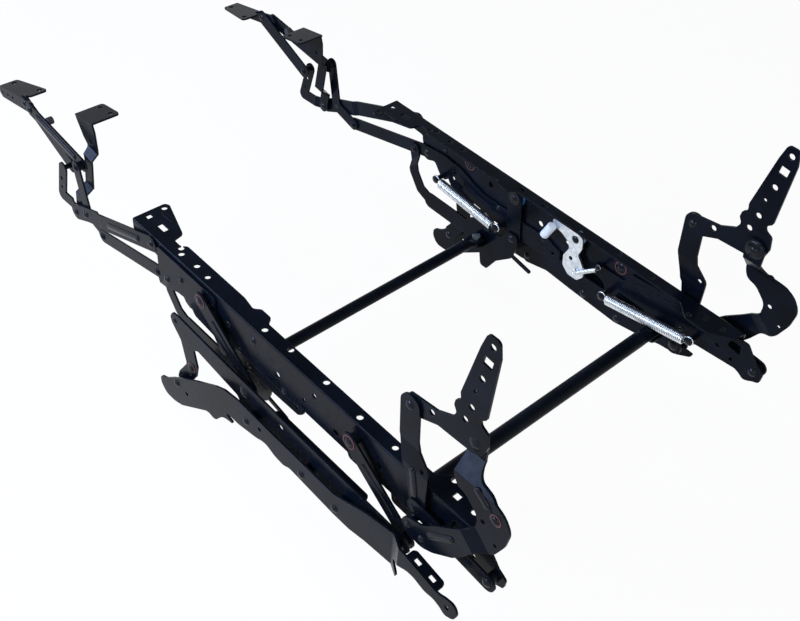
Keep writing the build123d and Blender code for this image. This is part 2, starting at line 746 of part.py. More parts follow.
def back_bracket():
    shares = [
        (0.611, 0.283), (0.627, 0.283), (0.631, 0.262), (0.6275, 0.174), (0.620, 0.168), (0.622, 0.161),
        (0.632, 0.156), (0.635, 0.138), (0.630, 0.120), (0.613, 0.114), (0.565, 0.111), (0.534, 0.097),
        (0.517, 0.099), (0.513, 0.114), (0.521, 0.125), (0.562, 0.131), (0.583, 0.142), (0.588, 0.152),
        (0.583, 0.160), (0.584, 0.169), (0.591, 0.174), (0.589, 0.184), (0.605, 0.262),
    ]
    holes = [
        pin_hole(back_pivot_share, swing_pin_radius), pin_hole(back_arm_share),
        ((0.6195, 0.271), bolt_hole_radius), ((0.613, 0.2225), bolt_hole_radius), ((0.606, 0.175), bolt_hole_radius),
        ((0.600, 0.152), bolt_hole_radius), ((0.555, 0.122), bolt_hole_radius), ((0.607, 0.200), rivet_radius),
    ]
    with BuildSketch(Plane.YZ.offset(face(web))) as shape:
        rounded_face(shares, corner)
        round_holes(holes)
        with Locations(at((0.617, 0.248))):
            Rectangle(back_square_hole, back_square_hole, rotation=-7, mode=Mode.SUBTRACT)
    return flat(shape.sketch)


def control_link():
    # steps outward past the rail and widens towards the bell crank
    with BuildSketch(Plane.YZ) as shape:
        bars((back_arm_share, (0.529, 0.060), (0.541, 0.022)), control_width)
        bars(((0.541, 0.022), crank_end_share, (0.555, 0.026), (0.541, 0.040)), arm_width)
        round_holes([pin_hole(back_arm_share), ((0.557, 0.028), small_hole_radius)])
    step_share = 0.058
    bar_part = stepped(shape.sketch, back_arm_share, (0, -1), outer,
                       [(step_share * side_span, 3 * joggle_run, control)])
    with BuildPart() as link:
        add(bar_part)
        rib((0.543, 0.016), (0.550, -0.016), control)
        head(crank_end_share, face(control), -1)
    return link.part


def bell_crank():
    shape = strap((crank_end_share, crank_pivot_share), bell_crank_width, [pin_hole(crank_pivot_share)], face(swing))
    with BuildPart() as crank:
        extrude(shape, amount=sheet)
        rib((0.585, -0.038), (0.648, -0.0443), swing)
        head(crank_end_share, face(swing) + sheet, 1)
    return crank.part


def cross_tube(share, radius):
    # a round tube whose ends are pressed flat for their bolts
    y, z = at(share)
    flat_end = tube_seat_x()
    flat_start = flat_end - tube_flat_length
    round_end = flat_start - tube_taper_length
    with BuildPart() as tube:
        with BuildSketch(Plane.YZ):
            with Locations((y, z)):
                Circle(radius)
        extrude(amount=round_end)
        with BuildSketch(Plane.YZ.offset(round_end)):
            with Locations((y, z)):
                Circle(radius)
        with BuildSketch(Plane.YZ.offset(flat_start)):
            with Locations((y, z)):
                RectangleRounded(tube_flat_width, tube_flat_height, tube_flat_height / 2 - running_gap)
        loft()
        with BuildSketch(Plane.YZ.offset(flat_start)):
            with Locations((y, z)):
                RectangleRounded(tube_flat_width, tube_flat_height, tube_flat_height / 2 - running_gap)
        extrude(amount=tube_flat_length)
        with BuildSketch(Plane.XY.offset(z - radius)):
            with Locations((flat_end - tube_flat_length / 2, y)):
                Circle(pin_radius + pin_clearance)
        extrude(amount=2 * radius, mode=Mode.SUBTRACT)
        mirror(about=Plane.YZ)
    return tube.part


def tube_bolt(share):
    # a bolt up through the lug and the flattened tube end
    y, z = at(share)
    low = z - tube_flat_height / 2 - sheet
    high = z + tube_flat_height / 2
    centre = (tube_seat_x() - tube_flat_length / 2, y)
    with BuildSketch(Plane.XY.offset(low)) as stem:
        with Locations(centre):
            Circle(pin_radius)
    extrude(stem.sketch, amount=high - low)
    with BuildSketch(Plane.XY.offset(high)) as crown:
        with Locations(centre):
            RegularPolygon(bolt_head_radius, 6)
    extrude(crown.sketch, amount=bolt_head_height)
    with BuildSketch(Plane.XY.offset(low)) as nut:
        with Locations(centre):
            RegularPolygon(bolt_head_radius, 6)
    extrude(nut.sketch, amount=-bolt_head_height)


def tube_bolts():
    with BuildPart() as bolts:
        tube_bolt(front_tube_share)
    return both_sides(bolts.part)


def spring_post(share):
    # a headed post that stands inward from its plate and carries a spring's hook
    spring_x = track_width / 2 - spring_offset
    tip = spring_x - 2 * wire_radius
    shank(share, tip, face(inner), post_radius)
    shank(share, face(inner), face(inner) + sheet, rivet_radius)
    head(share, face(inner) + sheet, 1, rivet_head_radius, sheet_gap / 2)
    head(share, tip, -1, post_head_radius, rivet_head_height)


def carriage_pins():
    with BuildPart() as pins:
        rivet(drive_pivot_share, web, outer)
        rivet(guide_pivot_share, inner, outer)
        rivet(front_swing_share, web, swing, swing_pin_radius, wide=swing_head_radius)
        spacer(front_swing_share, outer, swing, swing_pin_radius + shoulder_wall)
        rivet(rear_swing_share, web, swing, swing_pin_radius, wide=swing_head_radius)
        spacer(rear_swing_share, web, swing, swing_pin_radius + shoulder_wall)
        rivet(lift_top_share, lift_link_layer, web, low_head=False)
        spacer(lift_top_share, lift_link_layer, web, pin_radius + shoulder_wall)
        head(lift_top_share, face(lift_link_layer) - washer_height, -1)
        shank(lift_top_share, face(lift_link_layer) - washer_height, face(lift_link_layer), pin_radius)
        rivet(back_pivot_share, inner, web, swing_pin_radius, wide=swing_head_radius)
        rivet(crank_pivot_share, inner, swing)
        spacer(crank_pivot_share, inner, swing, pin_radius + shoulder_wall)
        rivet(outer_rivet_share, web, outer, rivet_radius, wide=rivet_head_radius)
        for share in inner_rivet_shares:
            shank(share, face(inner), face(web) + sheet, rivet_radius)
            head(share, face(inner), -1, rivet_head_radius, rivet_head_height)
            head(share, face(web) + sheet, 1, rivet_head_radius, rivet_head_height)
        for share in upright_stud_shares:
            rivet(share, inner, base_rail_layer, rivet_radius, wide=rivet_head_radius)
            spacer(share, web, base_rail_layer, rivet_head_radius)
        for share in front_post_shares + rear_post_shares:
            spring_post(share)
        tube_bolt(rear_tube_share)
    pair = both_sides(pins.part)
    with BuildPart() as all_pins:
        add(pair)
        add(right_side(latch_pins()))
    return all_pins.part


def base_pins():
    with BuildPart() as pins:
        for share in (front_base_share, rear_base_share):
            rivet(share, swing, base_rail_layer, swing_pin_radius, wide=swing_head_radius)
            spacer(share, swing, base_rail_layer, swing_pin_radius + shoulder_wall)
        for share in base_rivet_shares:
            rivet(share, base_rail_layer, base_plate_layer)
            spacer(share, base_rail_layer, base_plate_layer, pin_radius + shoulder_wall)
    return both_sides(pins.part)


def drive_pins():
    with BuildPart() as pins:
        rivet(knee_low_share, inner, web, low_head=False)
        rivet(fold_low_share, lift_link_layer, web)
    return both_sides(pins.part)


def bracket_pins():
    with BuildPart() as pins:
        shank(front_arm_share, face(bracket_layer), face(arm_layer) + sheet + running_gap, pin_radius)
        head(front_arm_share, face(arm_layer) + sheet + running_gap, 1)
        rivet(front_wide_share, wide_arm_layer, bracket_layer)
    return both_sides(pins.part)


def lift_pins():
    with BuildPart() as pins:
        rivet(lift_low_share, lift_layer, lift_link_layer, high_head=False)
    return both_sides(pins.part)


def back_pins():
    with BuildPart() as pins:
        rivet(back_arm_share, web, outer)
    return both_sides(pins.part)


def nylon_washers():
    # a ring between the lift link and its rivet's head on each side
    with BuildPart() as washers:
        x = face(lift_link_layer) - washer_height
        with BuildSketch(Plane.YZ.offset(x)):
            with Locations(at(lift_top_share)):
                Circle(washer_radius)
                Circle(pin_radius + pin_clearance, mode=Mode.SUBTRACT)
        extrude(amount=washer_height - running_gap / 2)
        mirror(about=Plane.YZ)
    return washers.part


def bumpers():
    # rubber stops on the inner face of the outer arms
    with BuildPart() as stops:
        with BuildSketch(Plane.YZ.offset(face(arm_layer))):
            with Locations(at(bumper_share)):
                Circle(bumper_radius)
        extrude(amount=-bumper_length)
        fillet(stops.edges().group_by(Axis.X)[0], rivet_head_height / 2)
        mirror(about=Plane.YZ)
    return stops.part


def biarc_edges(points, tangents):
    # two arcs between each pair of points, tangent to the helix at both
    edges = []
    for (p, t), (q, s) in zip(zip(points, tangents), zip(points[1:], tangents[1:])):
        v = q - p
        total = t + s
        spread = 2 * (1 - t.dot(s))
        d = (-v.dot(total) + sqrt(v.dot(total) ** 2 + spread * v.dot(v))) / spread
        middle = (p + t * d + q - s * d) / 2
        heading = (q - s * d - p - t * d).normalized()
        edges.append(Edge.make_tangent_arc(p, t, middle))
        edges.append(Edge.make_tangent_arc(middle, heading, q))
    return edges


def helix_points(start, axis, across, coil_radius, pitch, turns, parts_per_turn=2):
    up = axis.cross(across)
    points = []
    tangents = []
    rate = 2 * pi * coil_radius
    for i in range(int(turns * parts_per_turn) + 1):
        angle = 2 * pi * i / parts_per_turn
        radial = across * cos(angle) + up * sin(angle)
        points.append(start + radial * coil_radius + axis * (pitch * angle / (2 * pi)))
        around = up * cos(angle) - across * sin(angle)
        tangents.append((around * rate + axis * pitch).normalized())
    return points, tangents


def swept_coil(start, axis, coil_radius, wire, pitch, turns):
    points, tangents = helix_points(start, axis, Vector(1, 0, 0), coil_radius, pitch, turns)
    lead_in = Edge.make_line(points[0] - tangents[0] * 2 * wire, points[0])
    lead_out = Edge.make_line(points[-1], points[-1] + tangents[-1] * 2 * wire)
    path = Wire([lead_in, *biarc_edges(points, tangents), lead_out])
    with BuildPart() as coil:
        with BuildSketch(Plane(origin=path @ 0, z_dir=path % 0)) as section:
            Circle(wire)
        sweep(section.sketch, path=path)
    gap = self_gap(path, coil_radius, pitch, wire)
    print(f"spring: {turns} turns, least gap to itself {gap:.2f} mm")
    return coil.part


def self_gap(path, coil_radius, pitch, wire):
    # least distance between points of the wire that lie more than half a turn apart, less the wire
    count = int(path.length / wire)
    spots = [path.position_at(i / count) for i in range(count + 1)]
    apart = ceil(pi * coil_radius / wire)
    near = ceil(3 * pi * coil_radius / wire)
    least = min((spots[i] - spots[j]).length for i in range(count)
                for j in range(i + apart, min(i + near, count)))
    return least - 2 * wire


def hook(post, toward, wire, ring_radius, shank_length):
    # a wire hook: a straight shank inside the coil and most of a ring round the post
    side = Vector(1, 0, 0).cross(toward)
    with BuildLine(Plane(origin=post, x_dir=toward, z_dir=(1, 0, 0))) as path:
        shaft = Line((shank_length + ring_radius, -ring_radius), (0, -ring_radius))
        CenterArc((0, 0), ring_radius, 270, -hook_turn)
    with BuildPart() as wire_hook:
        with BuildSketch(Plane(origin=post + toward * (shank_length + ring_radius) - side * ring_radius,
                               z_dir=toward * -1)) as section:
            Circle(wire)
        sweep(section.sketch, path=path.wire())
    return wire_hook.part


def hooked_spring(shares, x, coil_radius, wire, pitch, ring_radius):
    # the coil's axis runs beside the hooks' shanks, which lie just inside its turns
    (y1, z1), (y2, z2) = places(shares)
    first = Vector(x, y1, z1)
    last = Vector(x, y2, z2)
    along = (last - first).normalized()
    side = Vector(1, 0, 0).cross(along)
    inset = coil_radius - 2 * wire - running_gap
    start_gap = ring_radius + 2 * wire
    length = (last - first).length - 2 * start_gap
    turns = int(length / pitch * 2) / 2
    slack = (length - turns * pitch) / 2
    axis_start = first + along * (start_gap + slack) - side * (ring_radius - inset)
    return first, last, along, axis_start, int(turns)


def extension_spring(shares):
    x = track_width / 2 - spring_offset
    coil_radius = spring_radius - wire_radius
    ring_radius = post_radius + running_gap + wire_radius
    first, last, along, start, turns = hooked_spring(shares, x, coil_radius, wire_radius, spring_pitch, ring_radius)
    near_hook = hook(first, along, wire_radius, ring_radius, hook_shank)
    with BuildPart() as far_hook:
        mirror(near_hook, about=Plane(origin=(first + last) / 2, z_dir=along))
    coil = swept_coil(start, along, coil_radius, wire_radius, spring_pitch, turns)
    with BuildPart() as spring:
        add(coil)
        add(near_hook)
        add(far_hook.part)
    return both_sides(spring.part)


def latch():
    # on the right side, so it is drawn on the left like the rest and mirrored
    shares = [
        (0.315, -0.010), (0.346, -0.0075), (0.360, -0.008), (0.374, -0.013), (0.376, -0.030), (0.371, -0.044),
        (0.384, -0.060), (0.388, -0.076), (0.378, -0.088), (0.360, -0.088), (0.348, -0.077), (0.346, -0.060),
        (0.354, -0.042), (0.349, -0.032), (0.336, -0.025), (0.317, -0.021),
    ]
    holes = [pin_hole(latch_pivot_share), ((0.360, -0.057), small_hole_radius), ((0.372, -0.072), rivet_radius)]
    with BuildPart() as plate:
        extrude(outline(shares, corner, holes, face(lift_layer)), amount=sheet)
        rib((0.361, -0.041), (0.366, -0.048), lift_layer, side=-1)
    return plate.part


def latch_cap():
    # a nylon sleeve on the latch's nose, against its inner face
    (y1, z1), (y2, z2) = places([(0.310, -0.042), (0.3215, -0.017)])
    x = face(lift_layer) - cap_radius - running_gap / 2
    along = Vector(0, y2 - y1, z2 - z1)
    with BuildPart() as cap:
        with BuildSketch(Plane(origin=(x, y1, z1), z_dir=along.normalized())):
            Circle(cap_radius)
        extrude(amount=along.length)
        chamfer(cap.edges().filter_by(GeomType.CIRCLE), rivet_head_height / 2)
    return cap.part


def latch_pins():
    # the latch's pivot and the post that holds its return spring
    spring_x = face(lift_layer) - latch_spring_radius - 2 * running_gap
    post = latch_spring_shares[1]
    with BuildPart() as pins:
        rivet(latch_pivot_share, lift_layer, web)
        spacer(latch_pivot_share, lift_layer, web, pin_radius + shoulder_wall)
        shank(post, spring_x - latch_wire_radius, face(web), rivet_radius)
        head(post, spring_x - latch_wire_radius, -1, rivet_head_radius, rivet_head_height)
    return pins.part


def latch_spring():
    spring_x = face(lift_layer) - latch_spring_radius - 2 * running_gap
    ring_radius = rivet_radius + running_gap + latch_wire_radius
    coil_radius = latch_spring_radius - latch_wire_radius
    first, last, along, start, turns = hooked_spring(
        latch_spring_shares, spring_x, coil_radius, latch_wire_radius, latch_spring_pitch, ring_radius)
    near_hook = hook(first, along, latch_wire_radius, ring_radius, hook_shank / 2)
    with BuildPart() as far_hook:
        mirror(near_hook, about=Plane(origin=(first + last) / 2, z_dir=along))
    coil = swept_coil(start, along, coil_radius, latch_wire_radius, latch_spring_pitch, turns)
    with BuildPart() as spring:
        add(coil)
        add(near_hook)
        add(far_hook.part)
    return spring.part


def right_side(piece):
    with BuildPart() as twin:
        mirror(piece, about=Plane.YZ)
    return twin.part


save_sides(seat_rail(), "seat_rail")
save_sides(rail_side_plate(), "rail_side_plate")
save_sides(inner_plate(), "inner_plate")
save_sides(rear_inner_plate(), "rear_inner_plate")
save_sides(rear_upright(), "rear_upright")
save_sides(base_side_plate(), "base_side_plate")
save_sides(base_rail(), "base_rail")
save_sides(swing_link(front_swing_share, front_base_share), "front_swing_link")
save_sides(swing_link(rear_swing_share, rear_base_share), "rear_swing_link")
save_sides(drive_link(), "footrest_drive_link")
save_sides(guide_link(), "footrest_guide_link")
save_sides(knee_link(), "footrest_knee_link")
save_sides(fold_link(), "footrest_fold_link")
save_sides(mid_bracket(), "footrest_mid_bracket")
save_sides(outer_arm(), "footrest_outer_arm")
save_sides(wide_arm(), "footrest_wide_arm")
save_sides(front_bracket(), "footrest_front_bracket")
save_sides(lift_link(), "lift_link")
save_sides(lift_plate(), "lift_plate")
save_sides(back_bracket(), "back_bracket")
save_sides(control_link(), "back_control_link")
save_sides(bell_crank(), "back_bell_crank")
save(cross_tube(front_tube_share, front_tube_radius), "front_cross_tube")
save(cross_tube(rear_tube_share, rear_tube_radius), "rear_cross_tube")
save(tube_bolts(), "front_tube_bolts")
save(carriage_pins(), "carriage_pins")
save(base_pins(), "base_pins")
save(drive_pins(), "footrest_drive_pins")
save(bracket_pins(), "footrest_bracket_pins")
save(lift_pins(), "lift_pins")
save(back_pins(), "back_pins")
save(nylon_washers(), "nylon_washers")
save(bumpers(), "footrest_bumpers")
save(extension_spring(front_post_shares), "front_springs")
save(extension_spring(rear_post_shares), "rear_springs")
save(right_side(latch()), "latch")
save(right_side(latch_cap()), "latch_cap")
save(right_side(latch_spring()), "latch_spring")
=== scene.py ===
import math

import bmesh
import bpy
from mathutils import Matrix, Vector


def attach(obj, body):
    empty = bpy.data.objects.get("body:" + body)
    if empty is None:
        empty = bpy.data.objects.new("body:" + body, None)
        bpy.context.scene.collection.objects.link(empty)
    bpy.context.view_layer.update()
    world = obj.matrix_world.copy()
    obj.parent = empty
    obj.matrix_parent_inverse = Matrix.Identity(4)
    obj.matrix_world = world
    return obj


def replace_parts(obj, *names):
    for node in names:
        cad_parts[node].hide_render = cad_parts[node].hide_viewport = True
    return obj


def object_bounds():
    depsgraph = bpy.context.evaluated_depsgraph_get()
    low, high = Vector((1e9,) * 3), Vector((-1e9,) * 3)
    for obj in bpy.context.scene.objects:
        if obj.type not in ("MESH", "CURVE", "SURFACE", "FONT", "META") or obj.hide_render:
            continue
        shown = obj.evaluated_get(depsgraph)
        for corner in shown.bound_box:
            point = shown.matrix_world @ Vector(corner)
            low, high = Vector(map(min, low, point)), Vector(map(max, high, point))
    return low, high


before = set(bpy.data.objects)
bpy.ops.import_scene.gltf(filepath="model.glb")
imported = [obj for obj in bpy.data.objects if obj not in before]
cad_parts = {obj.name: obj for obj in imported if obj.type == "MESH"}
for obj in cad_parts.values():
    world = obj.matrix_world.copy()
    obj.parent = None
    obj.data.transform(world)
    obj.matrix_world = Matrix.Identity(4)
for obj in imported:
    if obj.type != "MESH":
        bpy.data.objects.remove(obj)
cadBox = [list(corner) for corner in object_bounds()]
print("frame loaded,", len(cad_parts), "nodes")

mm = 0.001
sides = {"left": 1, "right": -1}
acrossAxis = Vector((1, 0, 0))

# Places in the side view: metres back from the rail's front slot, and metres up from its flange
railSlot = (-0.112, 0.211)
# The plates lie in layers, counted outward from the rail's web
sheet = 3 * mm
layerStep = 3.5 * mm
webFace = 247 * mm


def spot(share, x=0.0):
    return Vector((x, share[0] + railSlot[0], share[1] + railSlot[1]))


def innerFace(layer):
    return webFace + layer * layerStep


def outerFace(layer):
    return innerFace(layer) + sheet


def linear(hexColour):
    # sRGB hex to the linear colour that the shader wants
    values = [int(hexColour[i:i + 2], 16) / 255 for i in (1, 3, 5)]
    return [v / 12.92 if v <= 0.04045 else ((v + 0.055) / 1.055) ** 2.4 for v in values] + [1.0]


def addNode(tree, kind, inputs=None, ramp=None, **settings):
    # one node with its settings; an input is a value or the socket that feeds it
    node = tree.nodes.new(kind)
    for name, value in settings.items():
        setattr(node, name, value)
    for name, value in (inputs or {}).items():
        if isinstance(value, bpy.types.NodeSocket):
            tree.links.new(value, node.inputs[name])
        else:
            node.inputs[name].default_value = value
    if ramp:
        for stop, (place, colour) in zip(node.color_ramp.elements, ramp):
            stop.position, stop.color = place, linear(colour)
    return node


def newMaterial(name):
    material = bpy.data.materials.new(name)
    material.use_nodes = True
    material.node_tree.nodes.clear()
    return material, material.node_tree


def finishMaterial(tree, shader):
    output = addNode(tree, "ShaderNodeOutputMaterial")
    tree.links.new(shader.outputs[0], output.inputs["Surface"])


noiseSpread = {"From Min": 0.3, "From Max": 0.7}    # nearly all of a noise's values lie in here


def coatedSteel(name, look):
    # black by electrocoat: an even satin film with a faint orange peel; the sheared edges get a pale line in
    # patches, partly worn film and partly a painted highlight
    material, tree = newMaterial(name)
    place = addNode(tree, "ShaderNodeTexCoord").outputs["Object"]
    cloud = addNode(tree, "ShaderNodeTexNoise",
                    {"Vector": place, "Scale": 1 / (look["cloudSize"] * mm), "Detail": 4.0, "Roughness": 0.6})
    scuff = addNode(tree, "ShaderNodeTexNoise",
                    {"Vector": place, "Scale": 1 / (look["scuffSize"] * mm), "Detail": 6.0, "Roughness": 0.7})
    peel = addNode(tree, "ShaderNodeTexNoise",
                   {"Vector": place, "Scale": 1 / (look["peelSize"] * mm), "Detail": 1.0})
    film = addNode(tree, "ShaderNodeValToRGB", {"Fac": cloud.outputs["Fac"]},
                   ramp=[(0.36, look["deep"]), (0.68, look["pale"])])
    # an edge is where the rounded normal turns away from the true one
    rounded = addNode(tree, "ShaderNodeBevel", {"Radius": look["edgeWidth"] * mm}, samples=4)
    geometry = addNode(tree, "ShaderNodeNewGeometry")
    turned = addNode(tree, "ShaderNodeVectorMath",
                     {0: rounded.outputs["Normal"], 1: geometry.outputs["Normal"]}, operation="DOT_PRODUCT")
    edge = addNode(tree, "ShaderNodeMapRange",
                   {"Value": turned.outputs["Value"], "From Min": 0.97, "From Max": 0.72,
                    "To Min": 0.0, "To Max": 1.0})
    patchy = addNode(tree, "ShaderNodeMapRange",
                     {"Value": scuff.outputs["Fac"], "From Min": 0.42, "From Max": 0.62,
                      "To Min": 0.15, "To Max": 1.0})
    # the pale edge patches: partly worn film, partly a painted highlight along the edges
    wornEdgeAndHighlight = addNode(tree, "ShaderNodeMath", {0: edge.outputs["Result"], 1: patchy.outputs["Result"]},
                   operation="MULTIPLY")
    colour = addNode(tree, "ShaderNodeMix",
                     {0: wornEdgeAndHighlight.outputs[0], 6: film.outputs["Color"], 7: linear(look["edge"])},
                     data_type="RGBA")
    rough = addNode(tree, "ShaderNodeMapRange",
                    {"Value": scuff.outputs["Fac"], **noiseSpread,
                     "To Min": look["smooth"], "To Max": look["rough"]})
    bump = addNode(tree, "ShaderNodeBump",
                   {"Height": peel.outputs["Fac"], "Normal": rounded.outputs["Normal"],
                    "Strength": look["peelStrength"], "Distance": look["peelDepth"] * mm})
    shader = addNode(tree, "ShaderNodeBsdfPrincipled",
                     {"Base Color": colour.outputs[2], "Roughness": rough.outputs["Result"],
                      "IOR": look["ior"], "Specular IOR Level": look["specular"],
                      "Normal": bump.outputs["Normal"]})
    finishMaterial(tree, shader)
    return material


def zincPlated(name, look):
    # bright zinc over steel: a cool, slightly cloudy mirror with a fine grain
    material, tree = newMaterial(name)
    place = addNode(tree, "ShaderNodeTexCoord").outputs["Object"]
    spangle = addNode(tree, "ShaderNodeTexNoise",
                      {"Vector": place, "Scale": 1 / (look["spangleSize"] * mm), "Detail": 5.0,
                       "Roughness": 0.65})
    film = addNode(tree, "ShaderNodeValToRGB", {"Fac": spangle.outputs["Fac"]},
                   ramp=[(0.3, look["dull"]), (0.7, look["bright"])])
    rough = addNode(tree, "ShaderNodeMapRange",
                    {"Value": spangle.outputs["Fac"], **noiseSpread,
                     "To Min": look["rough"], "To Max": look["smooth"]})
    grain = addNode(tree, "ShaderNodeTexNoise",
                    {"Vector": place, "Scale": 1 / (look["grainSize"] * mm), "Detail": 2.0})
    bump = addNode(tree, "ShaderNodeBump",
                   {"Height": grain.outputs["Fac"], "Strength": 0.25, "Distance": 0.02 * mm})
    shader = addNode(tree, "ShaderNodeBsdfPrincipled",
                     {"Base Color": film.outputs["Color"], "Metallic": 1.0,
                      "Roughness": rough.outputs["Result"], "Normal": bump.outputs["Normal"]})
    finishMaterial(tree, shader)
    return material


def mouldedPolymer(name, look):
    # a soft, low gloss with a hint of light inside, and a fine mould grain
    material, tree = newMaterial(name)
    place = addNode(tree, "ShaderNodeTexCoord").outputs["Object"]
    cloud = addNode(tree, "ShaderNodeTexNoise",
                    {"Vector": place, "Scale": 1 / (look["cloudSize"] * mm), "Detail": 3.0})
    grain = addNode(tree, "ShaderNodeTexNoise",
                    {"Vector": place, "Scale": 1 / (look["grainSize"] * mm), "Detail": 2.0})
    body = addNode(tree, "ShaderNodeValToRGB", {"Fac": cloud.outputs["Fac"]},
                   ramp=[(0.35, look["deep"]), (0.65, look["pale"])])
    rough = addNode(tree, "ShaderNodeMapRange",
                    {"Value": grain.outputs["Fac"], **noiseSpread,
                     "To Min": look["smooth"], "To Max": look["rough"]})
    bump = addNode(tree, "ShaderNodeBump",
                   {"Height": grain.outputs["Fac"], "Strength": look["grainStrength"], "Distance": 0.03 * mm})
    shader = addNode(tree, "ShaderNodeBsdfPrincipled",
                     {"Base Color": body.outputs["Color"], "Roughness": rough.outputs["Result"],
                      "IOR": look["ior"], "Subsurface Weight": look["inside"],
                      "Subsurface Radius": (mm, mm, mm), "Normal": bump.outputs["Normal"]})
    finishMaterial(tree, shader)
    return material


# Sizes are in mm. The peel and the grains are finer on the real pieces, and are drawn coarse enough to show
plateLook = {
    # the edge colour is the pale line on sheared edges: partly worn film, partly a painted highlight
    "deep": "#06090f", "pale": "#0c121b", "edge": "#454d57", "cloudSize": 60, "scuffSize": 9, "peelSize": 1.6,
    "peelStrength": 0.12, "peelDepth": 0.05, "edgeWidth": 0.7, "smooth": 0.18, "rough": 0.3,
    "ior": 1.36, "specular": 0.1,
}
# Stamped plate: flat and even, with a pale line on the sheared edges that is partly worn film and partly a
# painted highlight
electrocoatedPlate = coatedSteel("electrocoatedStampedSteel", plateLook)
# Drawn tube: duller than the plate, so its highlight is a broad soft streak
electrocoatedTube = coatedSteel("electrocoatedDrawnTube", dict(
    plateLook, cloudSize=35, smooth=0.3, rough=0.42))
# Pressed rivet heads: glossier, so each dome keeps a small bright spot
blackenedRivet = coatedSteel("electrocoatedRivetSteel", dict(
    plateLook, deep="#0a0d12", pale="#12161c", smooth=0.14, rough=0.26, edgeWidth=0.4, cloudSize=8,
    specular=0.25))
# Plated spring wire: the brightest metal here, with sharp glints between the turns
zincWire = zincPlated("zincPlatedSpringWire", {
    "dull": "#b9c1c8", "bright": "#eef2f5", "spangleSize": 6, "grainSize": 0.5,
    "smooth": 0.2, "rough": 0.34})
# Plated sheet: a paler, more even grey than the wire
zincSheet = zincPlated("zincPlatedStampedSteel", {
    "dull": "#bcc6d0", "bright": "#eef3f8", "spangleSize": 9, "grainSize": 0.7,
    "smooth": 0.28, "rough": 0.46})
# Moulded white nylon: milky, with soft shadow edges
whiteNylon = mouldedPolymer("mouldedWhiteNylon", {
    "deep": "#cfd6dc", "pale": "#e6eaec", "cloudSize": 12, "grainSize": 0.4, "grainStrength": 0.2,
    "smooth": 0.38, "rough": 0.52, "ior": 1.53, "inside": 0.1})
# Moulded blue nylon: a strong even blue rim between two black plates
blueNylon = mouldedPolymer("mouldedBlueNylon", {
    "deep": "#21508c", "pale": "#3a6fae", "cloudSize": 10, "grainSize": 0.4, "grainStrength": 0.2,
    "smooth": 0.36, "rough": 0.5, "ior": 1.53, "inside": 0.05})
# Moulded pale nylon: washed out, close to the zinc beside it
paleBlueNylon = mouldedPolymer("mouldedPaleBlueNylon", {
    "deep": "#8fb4d2", "pale": "#b3cfe4", "cloudSize": 10, "grainSize": 0.4, "grainStrength": 0.2,
    "smooth": 0.36, "rough": 0.5, "ior": 1.53, "inside": 0.08})
# Pressed fibre: a dull brownish red that hardly shines
redFibre = mouldedPolymer("pressedRedFibre", {
    "deep": "#3a1a1a", "pale": "#552a28", "cloudSize": 3, "grainSize": 0.6, "grainStrength": 0.35,
    "smooth": 0.5, "rough": 0.7, "ior": 1.5, "inside": 0.0})
# Moulded rubber: matt and a little greyer than the steel
blackRubber = mouldedPolymer("mouldedBlackRubber", {
    "deep": "#15171a", "pale": "#1d1f22", "cloudSize": 8, "grainSize": 0.5, "grainStrength": 0.3,
    "smooth": 0.6, "rough": 0.78, "ior": 1.52, "inside": 0.0})
print("materials made")

# Finishes of the frame's own nodes; every other node is coated plate
nodeFinish = {
    "rear_cross_tube": electrocoatedTube, "front_cross_tube": electrocoatedTube,
    "carriage_pins": blackenedRivet, "base_pins": blackenedRivet, "footrest_drive_pins": blackenedRivet,
    "footrest_bracket_pins": blackenedRivet, "lift_pins": blackenedRivet, "back_pins": blackenedRivet,
    "front_tube_bolts": zincSheet, "latch": zincSheet, "latch_cap": whiteNylon,
    "nylon_washers": blackenedRivet,
    "footrest_bumpers": blackRubber, "front_springs": zincWire, "rear_springs": zincWire,
    "latch_spring": zincWire,
}
for name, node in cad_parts.items():
    node.data.materials.clear()
    node.data.materials.append(nodeFinish.get(name, electrocoatedPlate))
print("frame finished in coated steel, zinc, nylon and rubber")


def placePiece(name, mesh, material, body):
    piece = bpy.data.objects.new(name, mesh)
    bpy.context.scene.collection.objects.link(piece)
    mesh.materials.append(material)
    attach(piece, body)
    return piece


def stitch(shape, rings):
    # quads from each ring of points to the next
    for ring, after in zip(rings, rings[1:]):
        for k in range(len(ring)):
            nextK = (k + 1) % len(ring)
            shape.faces.new((ring[k], ring[nextK], after[nextK], after[k]))


def smoothMesh(shape, name, flatEnds=False):
    bmesh.ops.recalc_face_normals(shape, faces=shape.faces)
    mesh = bpy.data.meshes.new(name)
    shape.to_mesh(mesh)
    shape.free()
    for polygon in mesh.polygons:
        polygon.use_smooth = not flatEnds or len(polygon.vertices) == 4
    return mesh


def wireMesh(name, path, look):
    # a round wire along a path of points, with closed ends and no twist
    shape = bmesh.new()
    rings = []
    side = (path[1] - path[0]).orthogonal().normalized()
    for i, here in enumerate(path):
        ahead = (path[min(i + 1, len(path) - 1)] - path[max(i - 1, 0)]).normalized()
        side = (side - ahead * side.dot(ahead)).normalized()
        up = ahead.cross(side)
        ring = []
        for k in range(look["around"]):
            angle = 2 * math.pi * k / look["around"]
            reach = (side * math.cos(angle) + up * math.sin(angle)) * (look["wire"] * mm)
            ring.append(shape.verts.new(here + reach))
        rings.append(ring)
    stitch(shape, rings)
    shape.faces.new(list(reversed(rings[0])))
    shape.faces.new(rings[-1])
    return smoothMesh(shape, name, flatEnds=True)


